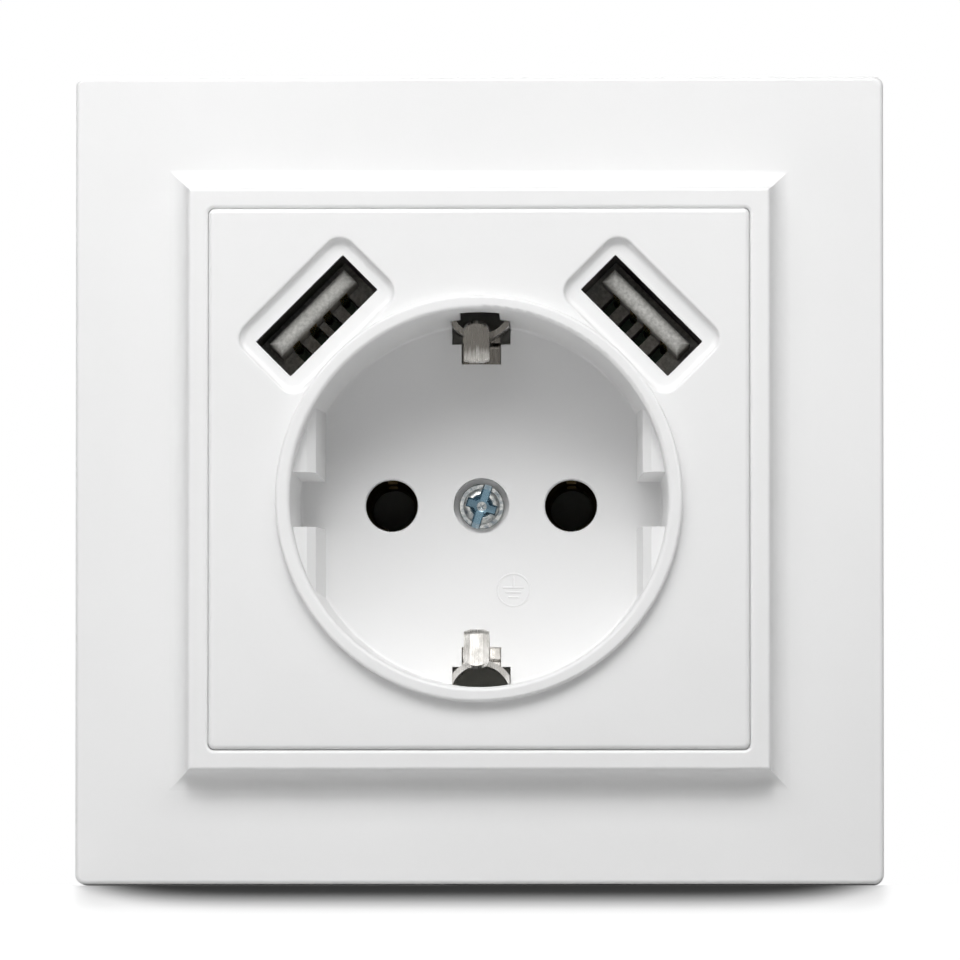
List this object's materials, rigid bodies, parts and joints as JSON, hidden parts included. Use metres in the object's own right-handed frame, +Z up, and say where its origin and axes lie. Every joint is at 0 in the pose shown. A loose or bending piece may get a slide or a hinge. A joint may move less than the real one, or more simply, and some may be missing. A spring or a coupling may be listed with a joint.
{
  "type": "usb wall socket",
  "caption": "White flush wall socket with a round earthed plug recess, USB charging ports at an angle above it, a coved square cover frame and spreading box claws.",
  "frame": {"origin": "centre of the cover frame on the wall surface, midway between the box screws", "axes": "+X to the viewer's right, +Z up the wall, +Y into the wall; the front faces -Y"},
  "size_m": [0.085, 0.041, 0.085],
  "materials": {
    "white_cover_plastic": "moulded thermoplastic, satin gloss",
    "zinc_steel_screw": "zinc plated, passivated",
    "galvanised_yoke_steel": "pressed galvanised sheet",
    "base_plastic": "moulded, matt",
    "rear_cover_plastic": "moulded, matt",
    "nickel_spring_strip": "nickel plated spring strip",
    "contact_brass": "rolled strip",
    "terminal_brass": "machined block",
    "board_laminate": "green solder mask on glass laminate",
    "ferrite": "sintered, ground",
    "coil_tape": "yellow polyester tape over the winding",
    "capacitor_sleeve": "shrink sleeve on an aluminium can",
    "disc_lacquer": "dipped lacquer",
    "resistor_coating": "flameproof coating",
    "chip_resin": "moulded epoxy with tinned legs",
    "port_shell_steel": "folded nickel plated sheet",
    "port_insulator_plastic": "moulded, matt",
    "port_contact_gilt": "gilt spring strip",
    "claw_steel": "pressed steel, yellow passivated"
  },
  "bodies": {
    "socket": {"cover_frame": "white_cover_plastic", "centre_plate": "white_cover_plastic", "plate_screw": "zinc_steel_screw", "centre_nut": "zinc_steel_screw", "support_yoke": "galvanised_yoke_steel", "yoke_rivets": "zinc_steel_screw", "socket_base": "base_plastic", "rear_cover": "rear_cover_plastic", "rear_cover_screws": "zinc_steel_screw", "earth_strap": "nickel_spring_strip", "live_contact": "contact_brass", "neutral_contact": "contact_brass", "live_terminal": "terminal_brass", "neutral_terminal": "terminal_brass", "earth_terminal": "terminal_brass", "terminal_screws": "zinc_steel_screw", "usb_circuit_board": "board_laminate", "transformer_core": "ferrite", "transformer_coil": "coil_tape", "input_capacitor": "capacitor_sleeve", "output_capacitor": "capacitor_sleeve", "safety_capacitor": "disc_lacquer", "fuse_resistor": "resistor_coating", "controller_chip": "chip_resin", "rectifier": "chip_resin", "usb_shell_left": "port_shell_steel", "usb_insulator_left": "port_insulator_plastic", "claw_pin_left": "zinc_steel_screw", "usb_shell_right": "port_shell_steel", "usb_insulator_right": "port_insulator_plastic", "claw_pin_right": "zinc_steel_screw", "usb_contact_left_1": "port_contact_gilt", "usb_contact_left_2": "port_contact_gilt", "usb_contact_left_3": "port_contact_gilt", "usb_contact_left_4": "port_contact_gilt", "usb_contact_right_1": "port_contact_gilt", "usb_contact_right_2": "port_contact_gilt", "usb_contact_right_3": "port_contact_gilt", "usb_contact_right_4": "port_contact_gilt"},
    "claw_left": {"claw_left": "claw_steel"},
    "claw_right": {"claw_right": "claw_steel"},
    "claw_screw_left": {"claw_screw_left": "zinc_steel_screw"},
    "claw_screw_right": {"claw_screw_right": "zinc_steel_screw"}
  },
  "joints": [
    {"name": "claw_screw_left_turn", "type": "hinge", "parent": "socket", "child": "claw_screw_left", "pos_m": [-0.02459, 0, -0.006], "axis": [0, 1, 0], "range_deg": [0, 1544]},
    {"name": "claw_left_swing", "type": "hinge", "parent": "socket", "child": "claw_left", "pos_m": [-0.01799, 0.0145, -0.006], "axis": [0, 0, 1], "range_deg": [0, 18]},
    {"name": "claw_screw_right_turn", "type": "hinge", "parent": "socket", "child": "claw_screw_right", "pos_m": [0.02459, 0, -0.006], "axis": [0, 1, 0], "range_deg": [0, 1544]},
    {"name": "claw_right_swing", "type": "hinge", "parent": "socket", "child": "claw_right", "pos_m": [0.01799, 0.0145, -0.006], "axis": [0, 0, -1], "range_deg": [0, 18]}
  ],
  "couplings": [
    {"joint": "claw_left_swing", "follows": "claw_screw_left_turn", "ratio": 0.01165},
    {"joint": "claw_right_swing", "follows": "claw_screw_right_turn", "ratio": 0.01165}
  ]
}
